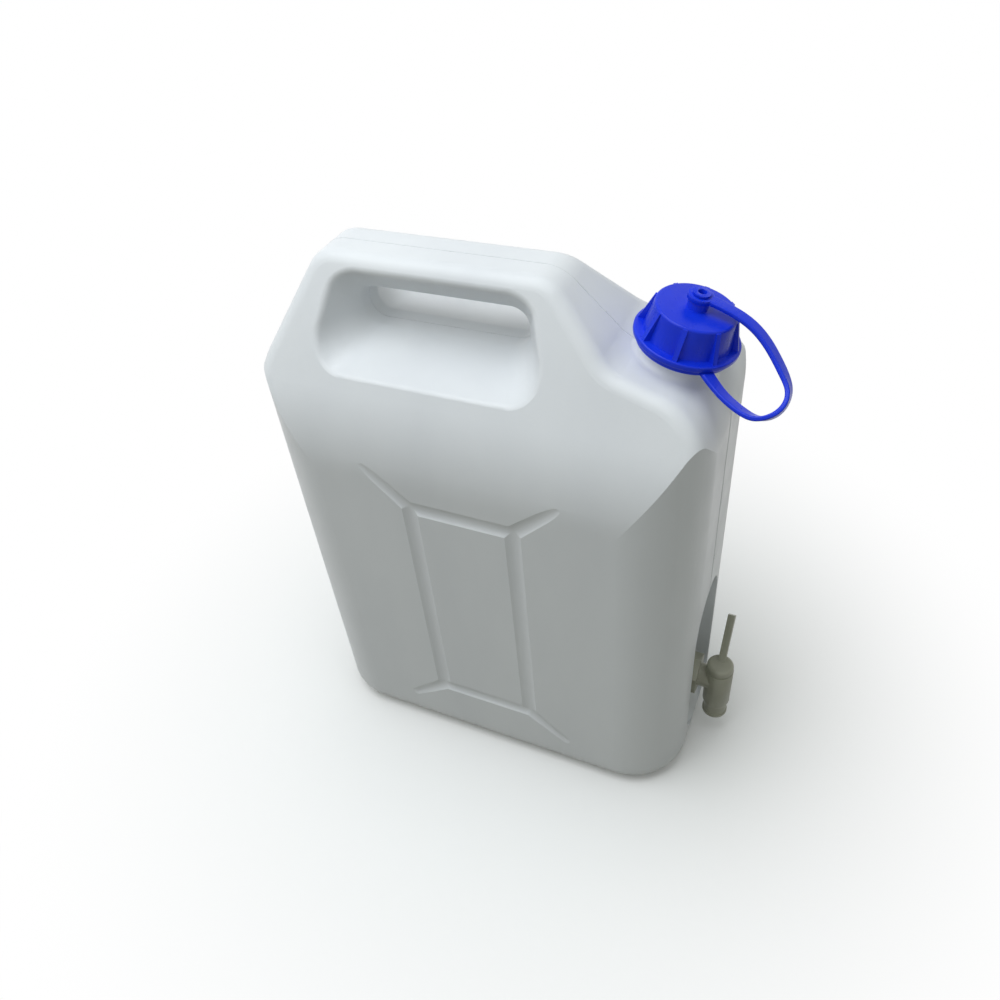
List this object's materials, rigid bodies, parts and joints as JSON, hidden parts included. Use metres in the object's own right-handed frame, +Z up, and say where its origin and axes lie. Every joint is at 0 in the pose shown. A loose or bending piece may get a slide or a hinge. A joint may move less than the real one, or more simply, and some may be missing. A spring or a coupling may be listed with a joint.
{
  "type": "carboy with spigot",
  "caption": "Rectangular plastic carboy with a moulded-in handle, a tilted neck with a tethered screw cap, and a spigot low on the end wall.",
  "frame": {"origin": "middle of the base, on the standing plane", "axes": "+Z up, +X towards the end wall that carries the neck and the tap, -Y is the front wall"},
  "size_m": [0.3115, 0.145, 0.371],
  "materials": {
    "natural_polyethylene": "translucent natural polyethylene, satin",
    "blue_polyethylene": "moulded, semi-gloss",
    "white_foam": "matt closed-cell foam",
    "black_rubber": "matt",
    "natural_tap_polyethylene": "translucent natural polyethylene, satin"
  },
  "bodies": {
    "can": {"can_body": "natural_polyethylene", "tap_body": "natural_tap_polyethylene", "tap_washer": "black_rubber"},
    "strap": {"cap_strap": "blue_polyethylene"},
    "cap": {"screw_cap": "blue_polyethylene", "cap_seal": "white_foam"},
    "plug": {"tap_plug": "natural_tap_polyethylene"}
  },
  "joints": [
    {"name": "cap_rise", "type": "slide", "parent": "can", "child": "strap", "axis": [0.225, 0, 0.9744], "range_m": [0, 0.018], "deforming": ["cap_strap"]},
    {"name": "cap_turn", "type": "hinge", "parent": "strap", "child": "cap", "pos_m": [0.1122, 0, 0.3398], "axis": [0.225, 0, 0.9744], "range_deg": [0, 1080]},
    {"name": "tap_turn", "type": "hinge", "parent": "can", "child": "plug", "pos_m": [0.154, 0, 0.058], "axis": [0, 0, -1], "range_deg": [0, 90]}
  ],
  "couplings": [
    {"joint": "cap_rise", "follows": "cap_turn", "m_per_rad": 0.00095493}
  ]
}
